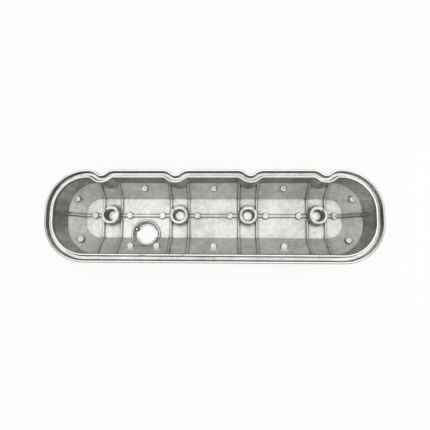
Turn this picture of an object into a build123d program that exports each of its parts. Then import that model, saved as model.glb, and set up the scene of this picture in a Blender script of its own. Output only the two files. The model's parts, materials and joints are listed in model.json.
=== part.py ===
"""Die-cast valve cover with four centre bolts and a bayonet oil filler.

The cover lies on its roof with the hollow side up.  X runs along the engine, +Y is
the notched long side and +Z points out of the hollow.  The origin is under the middle
of the flange, on the plane of the filler neck's end.  All sizes are in millimetres.
"""

from build123d import *
from math import atan, cos, degrees, isclose, radians, sin, tan
import os

# ------------------------------------------------------------ driving dimensions
bolt_pitch = 111.76          # bore pitch of the engine, 4.400 in
bolt_count = 4
bolt_line_y = 5.7            # the bolts sit a little towards the notched side

cover_length = 499.0
cover_width = 138.5
corner_r = 61.5
end_straight = cover_width - 2 * corner_r
cavity_depth = 60.7          # sealing face to the inside of the roof
wall_t = 3.8                 # casting wall, square to the surface
root_depth = 1.9             # how far bosses, seats and the long rib run into the wall
neck_proud = 5.2             # filler neck below the outside of the roof

# Flange, gasket groove and lips, measured inwards from the outline
flange_t = 10.0
rim_edge = 0.9               # eased outer edge of the outer lip
groove_outer = 2.7
groove_inner = 10.9
groove_slope = 2.2           # how far each groove wall leans in over its depth
groove_depth = 5.5
lip_inner = 12.4             # where the cavity starts

# Notches in one long side, one beside each bolt
notch_depth = 7.6
notch_half = 19.7
notch_crest_r = 21.3

# Inner faces: drafted walls down to a shoulder, then facets down to a flat roof
side_draft = radians(1.0)
left_draft = radians(9.0)    # at the filler's end
right_draft = radians(6.5)
shoulder_depth = 36.5        # sealing face to the corner between walls and facets
roof_left_x = 212.6          # roof edge at the filler's end
roof_right_x = 210.4
roof_high_y = 33.9           # roof edge on the notched side
roof_low_y = 30.7            # roof edge on the plain side
facet_left = 18.7            # plan width of the facets at the ends
facet_right = 22.6
facet_high = 22.5            # the same on the notched side
facet_low = 25.4             # the same on the plain side
facet_reach = 1.4            # facets run on past the shoulder, to be trimmed by the walls
wall_reach = 7.6             # walls run on past the roof in the same way
facet_bands = 3              # strips that the facets are ruled in, for even corners

# Bolt bosses, with a raised seat outside for each bolt's grommet
boss_height = 16.7
boss_tip_r = 14.3
boss_edge = 0.8              # eased edge round the tip
boss_root_r = 15.3
boss_flare = 3.8             # radius of the sweep into the roof, made as two cones
boss_step = 4.5              # one quarter of each boss's end is this much lower
boss_step_arc = 94.0
bore_mouth_r = 10.4
bore_root_r = 8.9
bolt_hole_r = 3.75
seat_r = 15.0
seat_proud = 1.5
pocket_r = 8.0               # recess in the seat for the grommet
web_t = 2.0                  # what is left between the bore and the recess

# Stiffening ribs
rib_height = 2.9
rib_crest = 1.6
spine_crest = 2.6            # the long rib is broader on top
rib_flank = radians(32.0)
rib_body = 5.0               # crest to the rib's foot, buried in the wall
rib_spread = 29.44           # between the two ribs of a pair
rib_reach = 1.1              # share of the facets that the crossing ribs cover
spine_knee = 0.9             # share of the end facets below the long rib's last bend
spine_climb = 27.0           # how far the long rib climbs the end walls

# Ejector pads
pad_r = 4.5
pad_draft = 1.2              # how much wider the foot is on the pads that stand on the roof
pad_height = 4.4
pad_body = 13.5              # top to foot on a facet, where the foot is buried
pad_from_bolt = 28.9
facet_pads = [               # x, y and the share of the facet's rise at the pad's top
    (0.0, 48.2, 0.84),
    (bolt_pitch, 48.2, 0.84),
    (-bolt_pitch, 48.2, 0.84),
    (220.0, 30.7, 0.88),
    (-220.0, 30.7, 0.88),
    (0.0, -44.0, 0.73),
    (bolt_pitch, -44.0, 0.73),
    (-bolt_pitch + 21.0, -44.0, 0.73),
    (-bolt_pitch - 21.0, -44.0, 0.73),
    (212.5, -34.0, 0.79),
    (-212.5, -34.0, 0.79),
]

# Oil filler: a bayonet plate at the bottom of a short flared neck
filler_x = -bolt_pitch
filler_y = -25.0
neck_r = 24.0
collar_r = 23.8
collar_height = 1.5
collar_draft = 0.6           # how much narrower the collar is on top
filler_mouth_r = 21.8
filler_seat_r = 18.0
plate_t = 3.0
filler_hole_r = 14.35
key_reach = 17.75
key_width = 12.2
key_turn = 3.0
stop_r = 2.1
stop_ring_r = 17.9
stop_height = 6.0
stop_angle = 152.0

# ------------------------------------------------------------ derived places
roof_outer_z = neck_proud
roof_z = neck_proud + wall_t
seal_z = roof_z + cavity_depth
shoulder_z = seal_z - shoulder_depth
facet_rise = cavity_depth - shoulder_depth
end_centre_x = cover_length / 2 - corner_r
bolt_xs = [(i - (bolt_count - 1) / 2) * bolt_pitch for i in range(bolt_count)]
upwards = (Align.CENTER, Align.CENTER, Align.MIN)


# ------------------------------------------------------------ outlines
def arc_about(centre, radius, start, end):
    """Arc about a centre, from one angle to another in degrees."""
    points = []
    for angle in (start, (start + end) / 2, end):
        turn = radians(angle)
        points.append((centre[0] + radius * cos(turn), centre[1] + radius * sin(turn)))
    return ThreePointArc(*points)


def notch(x, y, inset):
    """One notch in a long side at y: an arc over each shoulder and one along its bottom."""
    turn = 2 * atan(notch_depth / notch_half)
    crest_r = notch_crest_r - inset
    valley_r = notch_half / sin(turn) - crest_r
    swing = degrees(turn)
    return [
        arc_about((x - notch_half, y - crest_r), crest_r, 90, 90 - swing),
        arc_about((x, y - notch_depth + valley_r), valley_r, 270 - swing, 270 + swing),
        arc_about((x + notch_half, y - crest_r), crest_r, 90 + swing, 90),
    ]


def outline(left_x, right_x, low_y, high_y, z, notch_inset=None):
    """Outline at a height, with elliptical corners that all start from the same place in X.

    With notch_inset the side at high_y has the flange's notches, for an outline that
    lies that far inside the flange's own.
    """
    rise = (high_y - low_y - end_straight) / 2
    upper = high_y - rise
    lower = low_y + rise

    def corner(x, y, start):
        reach = right_x - end_centre_x if x > 0 else -left_x - end_centre_x
        if isclose(reach, rise):
            return CenterArc((x, y), rise, start, 90)
        return EllipticalCenterArc((x, y), reach, rise, start, arc_size=90)

    edges = [
        corner(end_centre_x, upper, 0),
        corner(-end_centre_x, upper, 90),
        Line((left_x, upper), (left_x, lower)),
        corner(-end_centre_x, lower, 180),
        Line((-end_centre_x, low_y), (end_centre_x, low_y)),
        corner(end_centre_x, lower, 270),
        Line((right_x, lower), (right_x, upper)),
    ]
    here = -end_centre_x
    if notch_inset is not None:
        for x in bolt_xs:
            edges.append(Line((here, high_y), (x - notch_half, high_y)))
            edges += notch(x, high_y, notch_inset)
            here = x + notch_half
    edges.append(Line((here, high_y), (end_centre_x, high_y)))
    return Pos(0, 0, z) * make_face(edges)


def band(inset, depth, left_pull=0.0, right_pull=0.0):
    """The flange's outline moved in by inset, at a depth below the sealing face."""
    half_y = cover_width / 2 - inset
    left_x = -cover_length / 2 + inset + left_pull
    right_x = cover_length / 2 - inset - right_pull
    return outline(left_x, right_x, -half_y, half_y, seal_z - depth, notch_inset=inset)


# ------------------------------------------------------------ the dished shell
def walls(inset, depth):
    """Solid from the sealing face down whose sides lean in with the casting's draft."""
    lean = depth * tan(side_draft)
    left_pull = depth * tan(left_draft) - lean
    right_pull = depth * tan(right_draft) - lean
    return loft([band(inset, 0), band(inset + lean, depth, left_pull, right_pull)], ruled=True)


def facets(clearance):
    """Roof and rising facets, offset from the inner surface by clearance."""

    def edge(at_roof, run, share):
        return at_roof + clearance * tan(atan(facet_rise / run) / 2) + share * run

    levels = []
    for step in range(facet_bands + 1):
        share = facet_reach * step / facet_bands
        levels.append(outline(
            -edge(roof_left_x, facet_left, share),
            edge(roof_right_x, facet_right, share),
            -edge(roof_low_y, facet_low, share),
            edge(roof_high_y, facet_high, share),
            roof_z - clearance + share * facet_rise,
        ))
    tray = loft(levels, ruled=True)
    return tray + extrude(tray.faces().sort_by(Axis.Z)[-1], cavity_depth)


def dish(clearance):
    """The hollow when clearance is 0, and the casting's outer form when it is wall_t."""
    sides = walls(lip_inner - clearance, cavity_depth + wall_reach)
    tray = facets(clearance)
    return sides & tray


# ------------------------------------------------------------ flange and gasket groove
def flange():
    """Flat rim with the outline's full width and an eased outer edge."""
    sides = [band(rim_edge, 0), band(0, rim_edge), band(0, flange_t)]
    return loft(sides, ruled=True)


def groove():
    """Gasket groove: a ring that narrows towards its floor."""
    outer = [band(groove_outer, 0), band(groove_outer + groove_slope, groove_depth)]
    inner = [band(groove_inner, 0), band(groove_inner - groove_slope, groove_depth)]
    return loft(outer, ruled=True) - loft(inner, ruled=True)


# ------------------------------------------------------------ bolt bosses
def boss(x):
    """Tapered tube round a bolt, flared at the roof and stepped down at one quarter."""
    foot = roof_z - root_depth
    tip = roof_z + boss_height
    bend = boss_flare * (1 - cos(radians(45)))
    profile = Polyline(
        (0, foot),
        (boss_root_r + boss_flare, foot),
        (boss_root_r + boss_flare, roof_z),
        (boss_root_r + bend, roof_z + bend),
        (boss_root_r, roof_z + boss_flare),
        (boss_tip_r, tip - boss_edge),
        (boss_tip_r - boss_edge, tip),
        (0, tip),
        close=True,
    )
    tube = revolve(Plane.XZ * make_face(profile), Axis.Z)
    first = 90 - boss_step_arc / 2
    arc = CenterArc((0, 0), 2 * boss_tip_r, first, boss_step_arc)
    quarter = make_face([arc, Line(arc @ 1, (0, 0)), Line((0, 0), arc @ 0)])
    tube -= Pos(0, 0, tip - boss_step) * extrude(quarter, 2 * boss_step)
    return Pos(x, bolt_line_y, 0) * tube


def bolt_bore(x):
    """Tapered bore down to the web, and the bolt's hole through it."""
    cone = Cone(bore_root_r, bore_mouth_r, boss_height, align=upwards)
    hole = Cylinder(bolt_hole_r, 2 * (wall_t + seat_proud))
    return Pos(x, bolt_line_y, roof_z) * (cone + hole)


def bolt_seat(x):
    """Low round seat outside the roof."""
    disc = Cylinder(seat_r, seat_proud + root_depth, align=upwards)
    return Pos(x, bolt_line_y, roof_outer_z - seat_proud) * disc


def grommet_pocket(x):
    """Recess in the seat for the bolt's sealing grommet, up to the web."""
    return Pos(x, bolt_line_y, 0) * Cylinder(pocket_r, roof_z - web_t, align=upwards)


# ------------------------------------------------------------ ribs and pads
def rib(crest_line, crest, plane):
    """Rib with sloping flanks below a crest line, which is given from its positive end."""
    half_top = crest / 2
    half_foot = half_top + rib_body * tan(rib_flank)
    points = [plane.from_local_coords(point) for point in crest_line]
    path = Polyline(*points)
    section = Plane(points[0], x_dir=plane.z_dir, z_dir=points[1] - points[0])
    profile = make_face(
        Polyline((-half_top, 0), (half_top, 0), (half_foot, -rib_body), (-half_foot, -rib_body), close=True)
    )
    return sweep(section * profile, path=path, transition=Transition.RIGHT)


def crossing_rib(x):
    """Rib over the roof and up both facets, from wall to wall."""
    high_lift = rib_height * tan(atan(facet_rise / facet_high) / 2)
    low_lift = rib_height * tan(atan(facet_rise / facet_low) / 2)
    crest_z = roof_z + rib_height
    crest_line = [
        (roof_high_y - high_lift + rib_reach * facet_high, crest_z + rib_reach * facet_rise),
        (roof_high_y - high_lift, crest_z),
        (-roof_low_y + low_lift, crest_z),
        (-roof_low_y + low_lift - rib_reach * facet_low, crest_z + rib_reach * facet_rise),
    ]
    return Pos(x, 0, 0) * rib(crest_line, rib_crest, Plane.YZ)


def spine():
    """Long rib through the bosses that climbs the end facets and fades out on the end walls."""
    crest_z = roof_z + rib_height
    climb_z = shoulder_z + spine_climb

    def climb(roof_x, run, draft):
        """Points of the crest from the end wall down to the roof."""
        near = roof_x - rib_height * tan(atan(facet_rise / run) / 2)
        wall_x = cover_length / 2 - lip_inner - (seal_z - climb_z) * tan(draft) + root_depth
        return [
            (wall_x, climb_z),
            (near + spine_knee * run, crest_z + spine_knee * facet_rise),
            (near, crest_z),
        ]

    right = climb(roof_right_x, facet_right, right_draft)
    left = climb(roof_left_x, facet_left, left_draft)
    crest_line = right + [(-x, z) for x, z in reversed(left)]
    return Pos(0, bolt_line_y, 0) * rib(crest_line, spine_crest, Plane.XZ)


def roof_pad(x):
    """Flat-topped round pad on the long rib, wider at its foot."""
    height = root_depth + pad_height
    post = Cone(pad_r + pad_draft, pad_r, height, align=upwards)
    return Pos(x, bolt_line_y, roof_z - root_depth) * post


def facet_pad(x, y, share):
    """Flat-topped round pad that stands out of a facet, at a share of the facet's rise."""
    post = Cylinder(pad_r, pad_body, align=(Align.CENTER, Align.CENTER, Align.MAX))
    return Pos(x, y, roof_z + share * facet_rise) * post


# ------------------------------------------------------------ oil filler
def filler_neck():
    """Neck outside the roof and the thin collar inside it."""
    at = Pos(filler_x, filler_y, 0)
    neck = at * Cylinder(neck_r, shoulder_z, align=upwards)
    collar = Cone(collar_r, collar_r - collar_draft, collar_height, align=upwards)
    return neck, Pos(filler_x, filler_y, roof_z) * collar


def filler_bore():
    """Flared bore above the plate, and the keyed hole through the plate."""
    flare_h = roof_z + collar_height - plate_t
    flare = Cone(filler_seat_r, filler_mouth_r, flare_h, align=upwards)
    mouth = Pos(0, 0, flare_h) * Cylinder(filler_mouth_r, shoulder_z, align=upwards)
    keys = Rot(0, 0, key_turn) * Rectangle(2 * neck_r, key_width) & Circle(key_reach)
    hole = extrude(Circle(filler_hole_r) + keys, plate_t, both=True)
    return Pos(filler_x, filler_y, plate_t) * (flare + mouth + hole)


def filler_stops():
    """Two round stops for the cap's lugs, opposite each other."""
    stops = []
    for angle in (stop_angle, stop_angle + 180):
        x = filler_x + stop_ring_r * cos(radians(angle))
        y = filler_y + stop_ring_r * sin(radians(angle))
        post = Cylinder(stop_r, plate_t + stop_height, align=upwards)
        stops.append(Pos(x, y, 0) * post)
    return stops


# ------------------------------------------------------------ the casting
neck, collar = filler_neck()
envelope = dish(wall_t) + flange() + neck
hollow = dish(0)

inside = [collar, spine()]
for x in bolt_xs:
    inside.append(boss(x))
    inside.append(crossing_rib(x - rib_spread / 2))
    inside.append(crossing_rib(x + rib_spread / 2))
    inside.append(roof_pad(x - pad_from_bolt))
    inside.append(roof_pad(x + pad_from_bolt))
for x, y, share in facet_pads:
    inside.append(facet_pad(x, y, share))

cover = envelope - hollow
cover += [piece & envelope for piece in inside]
cover += [bolt_seat(x) for x in bolt_xs]
cover -= [bolt_bore(x) + grommet_pocket(x) for x in bolt_xs]
cover = cover - filler_bore() - groove()
cover += filler_stops()

os.makedirs("parts", exist_ok=True)
export_step(cover, "parts/valve_cover.step")
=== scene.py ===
import bpy
import json
from math import radians
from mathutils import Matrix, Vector

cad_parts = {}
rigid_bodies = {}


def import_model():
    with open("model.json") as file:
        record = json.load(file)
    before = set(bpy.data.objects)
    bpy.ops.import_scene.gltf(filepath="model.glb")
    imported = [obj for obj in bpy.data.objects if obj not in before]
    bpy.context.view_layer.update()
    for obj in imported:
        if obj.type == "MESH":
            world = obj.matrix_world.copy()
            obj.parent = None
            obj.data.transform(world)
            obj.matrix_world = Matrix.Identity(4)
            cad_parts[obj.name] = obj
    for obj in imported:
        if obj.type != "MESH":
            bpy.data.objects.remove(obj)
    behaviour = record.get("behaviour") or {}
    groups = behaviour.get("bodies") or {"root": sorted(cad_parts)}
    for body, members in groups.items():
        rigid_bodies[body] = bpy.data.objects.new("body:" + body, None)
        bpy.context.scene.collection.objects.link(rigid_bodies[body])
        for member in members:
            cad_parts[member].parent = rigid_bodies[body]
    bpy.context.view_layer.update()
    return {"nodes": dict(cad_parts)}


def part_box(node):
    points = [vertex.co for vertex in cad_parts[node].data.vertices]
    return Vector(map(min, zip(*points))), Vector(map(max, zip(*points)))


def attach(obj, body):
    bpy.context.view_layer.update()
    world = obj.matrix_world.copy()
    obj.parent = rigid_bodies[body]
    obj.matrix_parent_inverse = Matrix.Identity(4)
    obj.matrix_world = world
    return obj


MM = 0.001

for leftover in list(bpy.data.objects):
    bpy.data.objects.remove(leftover, do_unlink=True)

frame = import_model()
bpy.ops.object.select_all(action="DESELECT")

# Every length below is in mm. The cover is centred on the origin, so half of it lies each way.
cover = frame["nodes"]["valve_cover"]
half_length, half_width, seal = (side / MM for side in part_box("valve_cover")[1])

# ---------------------------------------------------------------- camera, lamps and backdrop
FRAME_PIXELS = 430
CAMERA_FOCAL_PIXELS = 310
SENSOR = 36.0
CAMERA_PLACE = (14.5, -48.7, seal + 450.1)
CAMERA_TURN = (6.2725, 1.3699, 0.3325)              # degrees
CAMERA_CLIP = 10

KEY_PLACE = (-120, -50, 1500)
KEY_SIZE = 2600
KEY_POWER = 31.6                                    # watts
FILL_PLACE = (1100, 120, 950)
FILL_SIZE = 700
FILL_POWER = 4.1
WORLD_LEVEL = 0.04

FLOOR_R = 3000
BACKDROP_HEIGHT = 2300
ROUND_SIDES = 96
PAPER = "#F2F2F0"
FLOOR_GLOW = 0.86                                   # how much of the white is seen by the camera
BACKDROP_GLOW = 0.9

# ---------------------------------------------------------------- the casting's skin
# Size of each pattern, then the detail, roughness and distortion of its noise. The pits, flakes and
# grain are finer on real castings, and are drawn this coarse to show.
PATTERNS = {
    "cloud": (30.0, 3.0, 0.55, 0.0),
    "mottle": (7.0, 5.0, 0.7, 0.6),
    "freckles": (3.2, 4.0, 0.75, 0.0),
    "wear_and_edge_shade": (3.0, 4.0, 0.7, 0.0),
    "pits": (2.6, 3.0, 0.8, 0.0),
    "flakes": (2.2, 3.0, 0.8, 0.0),
    "grain": (1.1, 3.0, 0.65, 0.0),
}
STREAKS = (9.0, 6.0, 0.75, 0.8)
STREAK_STRETCH = 0.4                                # streaks run up and down the walls
MOTTLE_SHARE = 0.55
SKIN = ((0.38, "#B9BAB4"), (0.6, "#DADAD5"))        # pattern value and colour
SKIN_METAL = 0.55
SKIN_ROUGHNESS = 0.52
GRAIN_BUMP = 0.3
GRAIN_DEPTH = 0.25

# Which way a face looks, as the upright part of its normal: where one kind ends and the next begins
ROOF_FACING = (0.9, 0.98)
WALL_FACING = (0.46, 0.6)
GROOVE_WALL_FACING = (0.75, 0.9)
UPWARD = 0.1
INNER = -0.03
CORNER_TURN = (0.1, 0.45)                           # product of the normal's two level parts
PLAIN_CORNER_TURN = (0.04, 0.2)

# Tones are shares of the skin's own tone
STREAK_LEVELS = (0.32, 0.68)
# painted shade on the steep walls, their rounded corners drawn lighter
WALL_SHADE = (0.30, 0.62)
CORNER_LIGHTER = 1.45
# painted shade in the corners and round every foot
CORNER_SHADE_SAMPLES = 6
CORNER_SHADE = (                                           # reach, share of open sky, darkest tone
    (9.0, (0.3, 0.85), 0.3),
    (3.2, (0.5, 0.95), 0.22),
)
RIM_DEPTH = 6                                       # the rim gets no painted corner shade
OUTER_LIP = 1.6
# painted shade on the groove's walls, and painted light on its plain side
GROOVE_SHADE = (0.52, 0.9)                           # at the filler's end and at the far one
GROOVE_SIDE_LIGHT = (1.25, 0.95)                         # on the plain side and on the notched one
# painted shade on the groove at the far end
FAR_END_SHADE = (half_length, 5, seal)
FAR_END_SHADE_REACH = 62
FAR_END_SHADE_TONE = 0.5

# Places on the cover that carry marks of their own, painted shade and painted light among them
BOSSES = 4
BOLT_PITCH = 111.76
BOLT_Y = 5.7
# painted shade on the bosses' steep faces, and lighter webs in their bores
BOSS_SHADE = (17, 24, 0.5)                          # height, reach and tone
LIGHTER_WEB = (10, 13, 2.3)
FILLER = (-111.8, -25.0)
# painted shade lines round the filler's collar and its stops
FILLER_SHADE_RINGS = ((24.0, 0.62), (21.6, 0.7))          # radius and tone
FILLER_LINE = 1.1
STOPS = ((-127.6, -16.6), (-96.0, -33.4))
STOP_SHADE_RING = (2.5, 2.0, 0.35)                        # radius, width and tone
# painted shade along the long rib, darker at the far end
RIB_SHADE = (                                       # place, half size and tone
    ((213.0, 5.4, 32.0), (26.0, 2.8, 30.0), 0.66),
    ((-213.0, 5.4, 32.0), (26.0, 2.8, 30.0), 0.8),
)
# painted light on the plain side's corners and towards both ends of the roof
PLAIN_CORNER_LIGHT = 1.14
LIT_ENDS = ((-20, -100), (140, 190))              # where along the roof the painted light sets in
END_LIGHT = 1.17
PAD_TOP = 13.4                                      # pads beside the bosses
PAD_TOP_BAND = 0.3
HIGH_PADS = 26.4                                    # pads on the facets reach above this
PIT_LEVELS = (0.42, 0.58)
PIT_TONE = (0.78, 1.35)
FRECKLE_LEVELS = (0.5, 0.6)
FRECKLE_TONE = 0.93
STAIN = (128, -42, 20)
STAIN_REACH = 17
STAIN_TONE = 0.3

# Torn metal
FLASH = "#EDEDE9"
FLASH_LEVELS = (0.3, 0.46)
FLASH_SIZE = (5.4, 5.0, 6)
FLASH_PADS = ((-132.8, -46.6, 28), (-90.8, -46.6, 28), (0.0, -46.6, 28), (111.8, -46.6, 28))
SPECKS = (229, 28, 52)
SPECKS_REACH = 42
SPECK_LEVELS = (0.5, 0.58)

# Milled lips, painted shade on their outer edge, and nicks
LIP_DEPTH = 0.15
LIP_DARK = "#CECECA"
LIP_LIGHT = "#E6E6E2"
LIP_METAL = 0.85
LIP_ROUGHNESS = 0.42
CORNER_R = 61.5
ABOVE_ALL = 1000
ROUND_END = (40, 10)                                # distance from the end where it turns round
# painted shade on the rim's outer edge, widest round the ends
RIM_EDGE = 1.3
RIM_EDGE_AT_ENDS = 2.4
RIM_EDGE_FADE = (0.5, 1.5)
RIM_EDGE_SHADE = (0.45, 0.9)                         # on the plain side and on the notched one
ROUND_END_SHADE = 0.75
NICKS = (                                           # place, half size and turn in degrees
    ((114.9, 62.6, 68.0), (0.9, 3.2), -20),
    ((154.0, -61.7, 68.0), (1.0, 3.0), 0),
    ((-102.0, -58.9, 69.0), (5.5, 1.3), 0),
    ((-43.0, -58.9, 69.0), (2.8, 1.5), 0),
    ((158.9, 26.2, 9.0), (1.4, 1.3), 0),
    ((0.6, -22.0, 9.0), (0.4, 6.0), -12),
)
NICK_DEPTH = 3
NICK_TONE = 0.45
MARK_EDGE = (0.6, 1.2)                              # a mark fades between these shares of its size
RING_EDGE = (0.3, 0.7)                              # and a ring between these shares of its width

# ---------------------------------------------------------------- the long rib's run-outs
RUN_OUT_Y = 5.2
RUN_OUT_R = (1.9, 0.9)                              # at the foot and at the top
RUN_OUTS = {                                        # x and z of the foot and of the top
    "rib_run_out_left": ((-228.7, 35.0), (-234.9, 54.6)),
    "rib_run_out_right": ((230.3, 35.0), (235.2, 54.6)),
}
RUN_OUT_SIDES = 32
SMOOTH_ANGLE = 40

# ---------------------------------------------------------------- node settings
MULTIPLY = {"operation": "MULTIPLY"}
MAXIMUM = {"operation": "MAXIMUM"}
SUBTRACT = {"operation": "SUBTRACT"}
DIVIDE = {"operation": "DIVIDE"}
ABSOLUTE = {"operation": "ABSOLUTE"}
DISTANCE = {"operation": "DISTANCE"}
LENGTH = {"operation": "LENGTH"}
OVER = {"operation": "GREATER_THAN"}
UNDER = {"operation": "LESS_THAN"}
CLOSE = {"operation": "COMPARE"}
SOFT = {"interpolation_type": "SMOOTHSTEP"}
NUMBER = {"data_type": "FLOAT"}
COLOUR = {"data_type": "RGBA"}
TINT = {"data_type": "RGBA", "blend_type": "MULTIPLY"}


# ---------------------------------------------------------------- helpers
def metres(lengths):
    """Lengths in mm as Blender's metres."""
    return tuple(length * MM for length in lengths)


def linear(hex_colour):
    """sRGB hex to the linear RGBA that a socket takes."""
    values = []
    for start in (1, 3, 5):
        part = int(hex_colour[start:start + 2], 16) / 255
        values.append(part / 12.92 if part <= 0.04045 else ((part + 0.055) / 1.055) ** 2.4)
    return (*values, 1.0)


def add(tree, kind, settings=None, **inputs):
    """Adds a node. settings are its properties; inputs are values or sockets, by name or as _number."""
    node = tree.nodes.new(kind)
    for name, value in (settings or {}).items():
        setattr(node, name, value)
    for name, value in inputs.items():
        key = int(name[1:]) if name[0] == "_" else name.replace("_", " ")
        socket = node.inputs[key]
        if isinstance(value, bpy.types.NodeSocket):
            tree.links.new(value, socket)
        else:
            socket.default_value = value
    return node


def new_material(name):
    """An empty material and its tree."""
    material = bpy.data.materials.new(name)
    material.use_nodes = True
    tree = material.node_tree
    tree.nodes.clear()
    return material, tree


# ---------------------------------------------------------------- places on the cover
class Surface:
    """Where a point of the cover lies and which way it faces, as sockets of a material's tree.

    The masks are 1 on their part of the cover and 0 elsewhere.
    """

    def __init__(self, tree):
        self.tree = tree
        self.place = add(tree, "ShaderNodeTexCoord").outputs["Object"]
        self.along, self.over, self.height = add(tree, "ShaderNodeSeparateXYZ", Vector=self.place).outputs
        self.read_facing()
        self.read_rim()
        self.pattern = {}
        for name, (size, detail, roughness, distortion) in PATTERNS.items():
            self.pattern[name] = add(
                tree, "ShaderNodeTexNoise", Vector=self.place, Scale=1 / (size * MM),
                Detail=detail, Roughness=roughness, Distortion=distortion,
            ).outputs["Fac"]

    def read_facing(self):
        """Masks of the flat roof, the steep walls, and faces that look up, inwards or back."""
        normal = add(self.tree, "ShaderNodeNewGeometry").outputs["True Normal"]
        x, y, up = add(self.tree, "ShaderNodeSeparateXYZ", Vector=normal).outputs
        self.level = add(self.tree, "ShaderNodeMath", ABSOLUTE, _0=up).outputs[0]
        self.roof = add(
            self.tree, "ShaderNodeMapRange", SOFT,
            Value=up, From_Min=ROOF_FACING[0], From_Max=ROOF_FACING[1],
        ).outputs[0]
        self.steep = add(
            self.tree, "ShaderNodeMapRange", SOFT,
            Value=self.level, From_Min=WALL_FACING[0], From_Max=WALL_FACING[1], To_Min=1.0, To_Max=0.0,
        ).outputs[0]
        self.upward = add(self.tree, "ShaderNodeMath", OVER, _0=up, _1=UPWARD).outputs[0]
        self.inner = add(self.tree, "ShaderNodeMath", OVER, _0=up, _1=INNER).outputs[0]
        self.backward = add(self.tree, "ShaderNodeMath", UNDER, _0=x, _1=0.0).outputs[0]
        corner = add(self.tree, "ShaderNodeMath", MULTIPLY, _0=x, _1=y)
        self.turned = add(self.tree, "ShaderNodeMath", ABSOLUTE, _0=corner.outputs[0]).outputs[0]

    def read_rim(self):
        """Distance in from the outline, and masks of the rim, its milled lips and its groove."""
        self.from_edge = from_outline(self)
        self.past_lip = add(
            self.tree, "ShaderNodeMath", OVER, _0=self.from_edge, _1=OUTER_LIP * MM,
        ).outputs[0]
        self.rim = add(
            self.tree, "ShaderNodeMath", OVER, _0=self.height, _1=(seal - RIM_DEPTH) * MM,
        ).outputs[0]
        self.milled = add(
            self.tree, "ShaderNodeMath", OVER, _0=self.height, _1=(seal - LIP_DEPTH) * MM,
        ).outputs[0]


def from_outline(at):
    """Distance in from the cover's outline, taken as a rounded rectangle."""
    away = add(at.tree, "ShaderNodeVectorMath", ABSOLUTE, _0=at.place)
    straight = metres((half_length - CORNER_R, half_width - CORNER_R, ABOVE_ALL))
    past = add(at.tree, "ShaderNodeVectorMath", SUBTRACT, _0=away.outputs[0], _1=straight)
    past = add(at.tree, "ShaderNodeVectorMath", MAXIMUM, _0=past.outputs[0], _1=(0, 0, 0))
    reach = add(at.tree, "ShaderNodeVectorMath", LENGTH, _0=past.outputs[0])
    return add(at.tree, "ShaderNodeMath", SUBTRACT, _0=CORNER_R * MM, _1=reach.outputs["Value"]).outputs[0]


def near(at, centre, reach):
    """1 at a place on the cover, falling to 0 at a distance of reach."""
    away = add(at.tree, "ShaderNodeVectorMath", DISTANCE, _0=at.place, _1=metres(centre))
    return add(
        at.tree, "ShaderNodeMapRange", SOFT,
        Value=away.outputs["Value"], From_Max=reach * MM, To_Min=1.0, To_Max=0.0,
    ).outputs[0]


def mark(at, centre, half_size, turn=0):
    """1 inside a small box on the cover, soft at its sides, turned about Z by degrees."""
    inside = add(
        at.tree, "ShaderNodeMapping", {"vector_type": "TEXTURE"}, Vector=at.place,
        Location=metres(centre), Rotation=(0, 0, radians(turn)), Scale=metres(half_size),
    )
    away = add(at.tree, "ShaderNodeVectorMath", ABSOLUTE, _0=inside.outputs[0])
    x, y, z = add(at.tree, "ShaderNodeSeparateXYZ", Vector=away.outputs[0]).outputs
    widest = add(at.tree, "ShaderNodeMath", MAXIMUM, _0=x, _1=y)
    widest = add(at.tree, "ShaderNodeMath", MAXIMUM, _0=widest.outputs[0], _1=z)
    return add(
        at.tree, "ShaderNodeMapRange", SOFT, Value=widest.outputs[0],
        From_Min=MARK_EDGE[0], From_Max=MARK_EDGE[1], To_Min=1.0, To_Max=0.0,
    ).outputs[0]


def ring(at, centre, radius, width):
    """1 on a circle about an upright axis, soft at both sides."""
    level_place = add(at.tree, "ShaderNodeVectorMath", MULTIPLY, _0=at.place, _1=(1, 1, 0))
    away = add(
        at.tree, "ShaderNodeVectorMath", DISTANCE, _0=level_place.outputs[0], _1=metres((*centre, 0)),
    )
    off = add(at.tree, "ShaderNodeMath", SUBTRACT, _0=away.outputs["Value"], _1=radius * MM)
    off = add(at.tree, "ShaderNodeMath", ABSOLUTE, _0=off.outputs[0])
    return add(
        at.tree, "ShaderNodeMapRange", SOFT, Value=off.outputs[0],
        From_Min=RING_EDGE[0] * width * MM, From_Max=RING_EDGE[1] * width * MM,
        To_Min=1.0, To_Max=0.0,
    ).outputs[0]


def toned(at, tone, to, *masks):
    """tone, times to where every mask is 1."""
    where = masks[0]
    for mask in masks[1:]:
        where = add(at.tree, "ShaderNodeMath", MULTIPLY, _0=where, _1=mask).outputs[0]
    share = add(at.tree, "ShaderNodeMix", NUMBER, _0=where, _2=1.0, _3=to)
    return add(at.tree, "ShaderNodeMath", MULTIPLY, _0=tone, _1=share.outputs[0]).outputs[0]


# ---------------------------------------------------------------- layers of the skin
def mottled_skin(at):
    """Colour of the skin: the metal's flow in the die leaves broad clouds and a finer mottle."""
    flow = add(
        at.tree, "ShaderNodeMix", NUMBER,
        _0=MOTTLE_SHARE, _2=at.pattern["cloud"], _3=at.pattern["mottle"],
    )
    skin = add(at.tree, "ShaderNodeValToRGB", Fac=flow.outputs[0])
    for stop, (value, colour) in zip(skin.color_ramp.elements, SKIN):
        stop.position = value
        stop.color = linear(colour)
    return skin.outputs["Color"]


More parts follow.
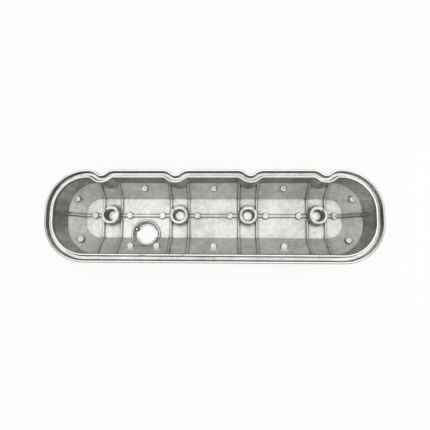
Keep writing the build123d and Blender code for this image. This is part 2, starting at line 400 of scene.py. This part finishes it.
def shaded_streaked_walls(at):
    """Painted shade darkens the drafted walls and rib flanks, streaked up and down where the casting drags
    along the die.
    """
    size, detail, roughness, distortion = STREAKS
    drawn = add(at.tree, "ShaderNodeMapping", Vector=at.place, Scale=(1.0, 1.0, STREAK_STRETCH))
    streak = add(
        at.tree, "ShaderNodeTexNoise", Vector=drawn.outputs[0], Scale=1 / (size * MM),
        Detail=detail, Roughness=roughness, Distortion=distortion,
    )
    painted_wall_shade = add(
        at.tree, "ShaderNodeMapRange", Value=streak.outputs["Fac"],
        From_Min=STREAK_LEVELS[0], From_Max=STREAK_LEVELS[1], To_Min=WALL_SHADE[0], To_Max=WALL_SHADE[1],
    )
    # The walls' rounded corners are drawn lighter.
    corner = add(
        at.tree, "ShaderNodeMapRange", SOFT, Value=at.turned,
        From_Min=CORNER_TURN[0], From_Max=CORNER_TURN[1], To_Min=1.0, To_Max=CORNER_LIGHTER,
    )
    painted_wall_shade = add(at.tree, "ShaderNodeMath", MULTIPLY, _0=painted_wall_shade.outputs[0], _1=corner.outputs[0])
    return toned(at, 1.0, painted_wall_shade.outputs[0], at.steep)


def painted_corner_shade(at, tone):
    """Painted shade darkens the corners and draws a dark line round every foot, below the rim."""
    below_rim = add(at.tree, "ShaderNodeMath", SUBTRACT, _0=1.0, _1=at.rim).outputs[0]
    for reach, (shut, clear), darkest in CORNER_SHADE:
        sky = add(
            at.tree, "ShaderNodeAmbientOcclusion", {"samples": CORNER_SHADE_SAMPLES, "only_local": True},
            Distance=reach * MM,
        )
        painted_shade = add(
            at.tree, "ShaderNodeMapRange", SOFT,
            Value=sky.outputs["AO"], From_Min=shut, From_Max=clear, To_Min=darkest,
        )
        tone = toned(at, tone, painted_shade.outputs[0], below_rim)
    return tone


def shaded_groove(at, tone):
    """Painted shade darkens the groove's walls, most at the filler's end; painted light lifts them along the
    plain side; more painted shade lies on the groove at the far end.
    """
    painted_groove_shade = add(
        at.tree, "ShaderNodeMapRange", Value=at.along,
        From_Min=-half_length * MM, From_Max=half_length * MM,
        To_Min=GROOVE_SHADE[0], To_Max=GROOVE_SHADE[1],
    )
    side_light = add(
        at.tree, "ShaderNodeMapRange", Value=at.over,
        From_Min=-half_width * MM, From_Max=half_width * MM,
        To_Min=GROOVE_SIDE_LIGHT[0], To_Max=GROOVE_SIDE_LIGHT[1],
    )
    painted_groove_shade = add(at.tree, "ShaderNodeMath", MULTIPLY, _0=painted_groove_shade.outputs[0], _1=side_light.outputs[0])
    wall = add(
        at.tree, "ShaderNodeMapRange", SOFT, Value=at.level,
        From_Min=GROOVE_WALL_FACING[0], From_Max=GROOVE_WALL_FACING[1], To_Min=1.0, To_Max=0.0,
    )
    tone = toned(at, tone, painted_groove_shade.outputs[0], wall.outputs[0], at.rim, at.past_lip)
    return toned(at, tone, FAR_END_SHADE_TONE, near(at, FAR_END_SHADE, FAR_END_SHADE_REACH), at.rim, at.past_lip)


def painted_boss_shade(at, tone):
    """Painted shade darkens the bosses' steep faces inside and out; the webs at the foot of their bores are
    drawn lighter.
    """
    for count in range(BOSSES):
        x = (count - (BOSSES - 1) / 2) * BOLT_PITCH
        for (height, reach, change), faces in ((BOSS_SHADE, at.steep), (LIGHTER_WEB, at.roof)):
            tone = toned(at, tone, change, near(at, (x, BOLT_Y, height), reach), faces)
    return tone


def filler_shade_lines(at, tone):
    """Painted shade draws dark lines round the filler's collar and its stops."""
    for radius, line_shade in FILLER_SHADE_RINGS:
        tone = toned(at, tone, line_shade, ring(at, FILLER, radius, FILLER_LINE), at.upward)
    radius, width, line_shade = STOP_SHADE_RING
    for stop in STOPS:
        tone = toned(at, tone, line_shade, ring(at, stop, radius, width), at.inner)
    return tone


def long_rib_shade(at, tone):
    """Painted shade lies along the long rib on the roof's ends."""
    for centre, half_size, rib_shade_tone in RIB_SHADE:
        tone = toned(at, tone, rib_shade_tone, mark(at, centre, half_size), at.inner)
    return tone


def lit_places(at, tone):
    """Painted light brightens the plain side's corners and both ends of the roof."""
    plain_side = add(at.tree, "ShaderNodeMath", UNDER, _0=at.over, _1=0.0)
    corner = add(
        at.tree, "ShaderNodeMapRange", SOFT,
        Value=at.turned, From_Min=PLAIN_CORNER_TURN[0], From_Max=PLAIN_CORNER_TURN[1],
    )
    tone = toned(at, tone, PLAIN_CORNER_LIGHT, corner.outputs[0], plain_side.outputs[0], at.upward)
    for start, end in LIT_ENDS:
        lit_end = add(
            at.tree, "ShaderNodeMapRange", SOFT, Value=at.along, From_Min=start * MM, From_Max=end * MM,
        )
        tone = toned(at, tone, END_LIGHT, lit_end.outputs[0], at.roof)
    return tone


def rough_pads(at, tone):
    """The pads' tops are rough from the ejector pins."""
    high = add(at.tree, "ShaderNodeMath", OVER, _0=at.height, _1=HIGH_PADS * MM)
    low = add(at.tree, "ShaderNodeMath", CLOSE, _0=at.height, _1=PAD_TOP * MM, _2=PAD_TOP_BAND * MM)
    pad = add(at.tree, "ShaderNodeMath", MAXIMUM, _0=high.outputs[0], _1=low.outputs[0])
    below_rim = add(at.tree, "ShaderNodeMath", SUBTRACT, _0=1.0, _1=at.rim)
    pitted = add(
        at.tree, "ShaderNodeMapRange", Value=at.pattern["pits"],
        From_Min=PIT_LEVELS[0], From_Max=PIT_LEVELS[1], To_Min=PIT_TONE[0], To_Max=PIT_TONE[1],
    )
    return toned(at, tone, pitted.outputs[0], pad.outputs[0], at.roof, below_rim.outputs[0])


def freckles_and_stain(at, tone):
    """Freckles lie all over, and a stain beside the last pad of the plain side."""
    freckle = add(
        at.tree, "ShaderNodeMapRange", Value=at.pattern["freckles"],
        From_Min=FRECKLE_LEVELS[0], From_Max=FRECKLE_LEVELS[1],
    ).outputs[0]
    tone = toned(at, tone, FRECKLE_TONE, freckle)
    return toned(at, tone, STAIN_TONE, near(at, STAIN, STAIN_REACH), freckle, at.inner)


def torn_metal(at):
    """1 on torn metal: ragged flash beside the plain side's pads, specks on the far end wall."""
    flakes = []
    for low, high in (FLASH_LEVELS, SPECK_LEVELS):
        flake = add(
            at.tree, "ShaderNodeMapRange", Value=at.pattern["flakes"], From_Min=low, From_Max=high,
        )
        flakes.append(flake.outputs[0])
    flaky, specks = flakes
    torn = near(at, SPECKS, SPECKS_REACH)
    for mask in (specks, at.steep, at.backward):
        torn = add(at.tree, "ShaderNodeMath", MULTIPLY, _0=torn, _1=mask).outputs[0]
    for centre in FLASH_PADS:
        flash = mark(at, centre, FLASH_SIZE)
        for mask in (flaky, at.upward):
            flash = add(at.tree, "ShaderNodeMath", MULTIPLY, _0=flash, _1=mask).outputs[0]
        torn = add(at.tree, "ShaderNodeMath", MAXIMUM, _0=torn, _1=flash).outputs[0]
    return torn


def wear_and_edge_shade(at):
    """Painted shade darkens the outer lip's edge, most on the plain side and round the ends; nicks and
    scratches are real wear.
    """
    away = add(at.tree, "ShaderNodeMath", ABSOLUTE, _0=at.along)
    round_end = add(
        at.tree, "ShaderNodeMapRange", SOFT, Value=away.outputs[0],
        From_Min=(half_length - ROUND_END[0]) * MM, From_Max=(half_length - ROUND_END[1]) * MM,
    ).outputs[0]
    width = add(
        at.tree, "ShaderNodeMix", NUMBER, _0=round_end, _2=RIM_EDGE * MM, _3=RIM_EDGE_AT_ENDS * MM,
    )
    widths_in = add(at.tree, "ShaderNodeMath", DIVIDE, _0=at.from_edge, _1=width.outputs[0])
    shaded_edge = add(
        at.tree, "ShaderNodeMapRange", SOFT, Value=widths_in.outputs[0],
        From_Min=RIM_EDGE_FADE[0], From_Max=RIM_EDGE_FADE[1], To_Min=1.0, To_Max=0.0,
    )
    edge_shade = add(
        at.tree, "ShaderNodeMapRange", Value=at.over,
        From_Min=-half_width * MM, From_Max=half_width * MM,
        To_Min=RIM_EDGE_SHADE[0], To_Max=RIM_EDGE_SHADE[1],
    )
    edge_shade = toned(at, edge_shade.outputs[0], ROUND_END_SHADE, round_end)
    tone = toned(at, 1.0, edge_shade, shaded_edge.outputs[0], at.upward)
    for centre, (half_x, half_y), turn in NICKS:
        tone = toned(at, tone, NICK_TONE, mark(at, centre, (half_x, half_y, NICK_DEPTH), turn))
    return tone


# ---------------------------------------------------------------- die-cast aluminium
def cast_colour(at):
    """The skin's colour with every layer that tones it, painted shade and painted light among them."""
    tone = shaded_streaked_walls(at)
    for layer in (
        painted_corner_shade, shaded_groove, painted_boss_shade, filler_shade_lines,
        long_rib_shade, lit_places, rough_pads, freckles_and_stain,
    ):
        tone = layer(at, tone)
    return add(at.tree, "ShaderNodeMix", TINT, _0=1.0, _6=mottled_skin(at), _7=tone).outputs[2]


def die_cast_aluminium():
    """Bare die-cast aluminium: a satin grey skin, mottled by the die, with brighter milled lips."""
    material, tree = new_material("die-cast aluminium")
    at = Surface(tree)
    torn = torn_metal(at)
    lip = add(
        tree, "ShaderNodeMix", COLOUR,
        _0=at.pattern["wear_and_edge_shade"], _6=linear(LIP_DARK), _7=linear(LIP_LIGHT),
    ).outputs[2]
    colour = add(tree, "ShaderNodeMix", COLOUR, _0=torn, _6=cast_colour(at), _7=linear(FLASH)).outputs[2]
    colour = add(tree, "ShaderNodeMix", COLOUR, _0=at.milled, _6=colour, _7=lip).outputs[2]
    colour = add(tree, "ShaderNodeMix", TINT, _0=1.0, _6=colour, _7=wear_and_edge_shade(at)).outputs[2]
    roughness = add(tree, "ShaderNodeMix", NUMBER, _0=at.milled, _2=SKIN_ROUGHNESS, _3=LIP_ROUGHNESS)
    metallic = add(tree, "ShaderNodeMix", NUMBER, _0=at.milled, _2=SKIN_METAL, _3=LIP_METAL)
    # Torn metal is matt and so ragged that it shows as plain white.
    metallic = add(tree, "ShaderNodeMix", NUMBER, _0=torn, _2=metallic.outputs[0], _3=0.0)
    bump = add(
        tree, "ShaderNodeBump", Strength=GRAIN_BUMP, Distance=GRAIN_DEPTH * MM, Height=at.pattern["grain"],
    )
    shader = add(
        tree, "ShaderNodeBsdfPrincipled", Base_Color=colour, Metallic=metallic.outputs[0],
        Roughness=roughness.outputs[0], Normal=bump.outputs["Normal"],
    )
    add(tree, "ShaderNodeOutputMaterial", Surface=shader.outputs["BSDF"])
    return material


# ---------------------------------------------------------------- the long rib's run-outs
def rib_run_out(name, foot, top, metal):
    """Where the long rib climbs an end wall and dies away, half sunk in the wall."""
    low = Vector(metres((foot[0], RUN_OUT_Y, foot[1])))
    high = Vector(metres((top[0], RUN_OUT_Y, top[1])))
    climb = high - low
    bpy.ops.mesh.primitive_cone_add(
        vertices=RUN_OUT_SIDES, radius1=RUN_OUT_R[0] * MM, radius2=RUN_OUT_R[1] * MM,
        depth=climb.length, location=(low + high) / 2, rotation=climb.to_track_quat("Z", "Y").to_euler(),
    )
    bpy.ops.object.transform_apply(location=True, rotation=True, scale=True)
    bpy.ops.object.shade_smooth_by_angle(angle=radians(SMOOTH_ANGLE))
    rib = bpy.context.object
    rib.name = name
    rib.data.materials.append(metal)
    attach(rib, "root")


# ---------------------------------------------------------------- floor, backdrop, lamps and camera
def pale_paper(name, glow_share):
    """Matt pale paper: seen as white by the camera and in reflections, with the shadow kept."""
    material, tree = new_material(name)
    paper = add(tree, "ShaderNodeBsdfDiffuse", Color=linear(PAPER))
    glow = add(tree, "ShaderNodeEmission", Color=(1, 1, 1, 1), Strength=1.0)
    path = add(tree, "ShaderNodeLightPath").outputs
    seen = add(tree, "ShaderNodeMath", MAXIMUM, _0=path["Is Camera Ray"], _1=path["Is Glossy Ray"])
    seen = add(tree, "ShaderNodeMath", MAXIMUM, _0=seen.outputs[0], _1=path["Is Transmission Ray"])
    share = add(tree, "ShaderNodeMath", MULTIPLY, _0=seen.outputs[0], _1=glow_share)
    mix = add(tree, "ShaderNodeMixShader", _0=share.outputs[0], _1=paper.outputs["BSDF"], _2=glow.outputs[0])
    add(tree, "ShaderNodeOutputMaterial", Surface=mix.outputs[0])
    return material


def floor_and_backdrop():
    """Round floor with an upright round wall of paper about it."""
    bpy.ops.mesh.primitive_circle_add(
        vertices=ROUND_SIDES, radius=FLOOR_R * MM, fill_type="NGON", location=(0, 0, 0),
    )
    floor = bpy.context.object
    floor.name = "floor"
    floor.data.materials.append(pale_paper("pale floor", FLOOR_GLOW))
    bpy.ops.mesh.primitive_cylinder_add(
        vertices=ROUND_SIDES, radius=FLOOR_R * MM, depth=BACKDROP_HEIGHT * MM, end_fill_type="NOTHING",
        location=metres((0, 0, BACKDROP_HEIGHT / 2)),
    )
    backdrop = bpy.context.object
    backdrop.name = "backdrop"
    backdrop.data.materials.append(pale_paper("pale backdrop", BACKDROP_GLOW))


def softbox(name, place, size, power):
    """Round area lamp that faces the part."""
    data = bpy.data.lights.new(name, "AREA")
    data.shape = "DISK"
    data.size = size * MM
    data.energy = power
    lamp = bpy.data.objects.new(name, data)
    lamp.location = metres(place)
    lamp.rotation_euler = lamp.location.to_track_quat("Z", "Y").to_euler()
    bpy.context.scene.collection.objects.link(lamp)


def overhead_camera():
    """Camera over the hollow, looking almost straight down."""
    data = bpy.data.cameras.new("camera")
    data.sensor_width = SENSOR
    data.lens = SENSOR * CAMERA_FOCAL_PIXELS / FRAME_PIXELS
    data.clip_start = CAMERA_CLIP * MM
    camera = bpy.data.objects.new("camera", data)
    camera.location = metres(CAMERA_PLACE)
    camera.rotation_euler = [radians(turn) for turn in CAMERA_TURN]
    bpy.context.scene.collection.objects.link(camera)
    bpy.context.scene.camera = camera


def studio_world():
    """Faint even light from all round."""
    world = bpy.data.worlds.new("studio")
    world.use_nodes = True
    tree = world.node_tree
    tree.nodes.clear()
    sky = add(tree, "ShaderNodeBackground", Color=(1, 1, 1, 1), Strength=WORLD_LEVEL)
    add(tree, "ShaderNodeOutputWorld", Surface=sky.outputs[0])
    bpy.context.scene.world = world


# ---------------------------------------------------------------- build
aluminium = die_cast_aluminium()
cover.data.materials.clear()
cover.data.materials.append(aluminium)
for name, (foot, top) in RUN_OUTS.items():
    rib_run_out(name, foot, top, aluminium)

floor_and_backdrop()
softbox("overhead softbox", KEY_PLACE, KEY_SIZE, KEY_POWER)
softbox("side fill", FILL_PLACE, FILL_SIZE, FILL_POWER)
overhead_camera()
studio_world()
bpy.context.scene.view_settings.view_transform = "Standard"
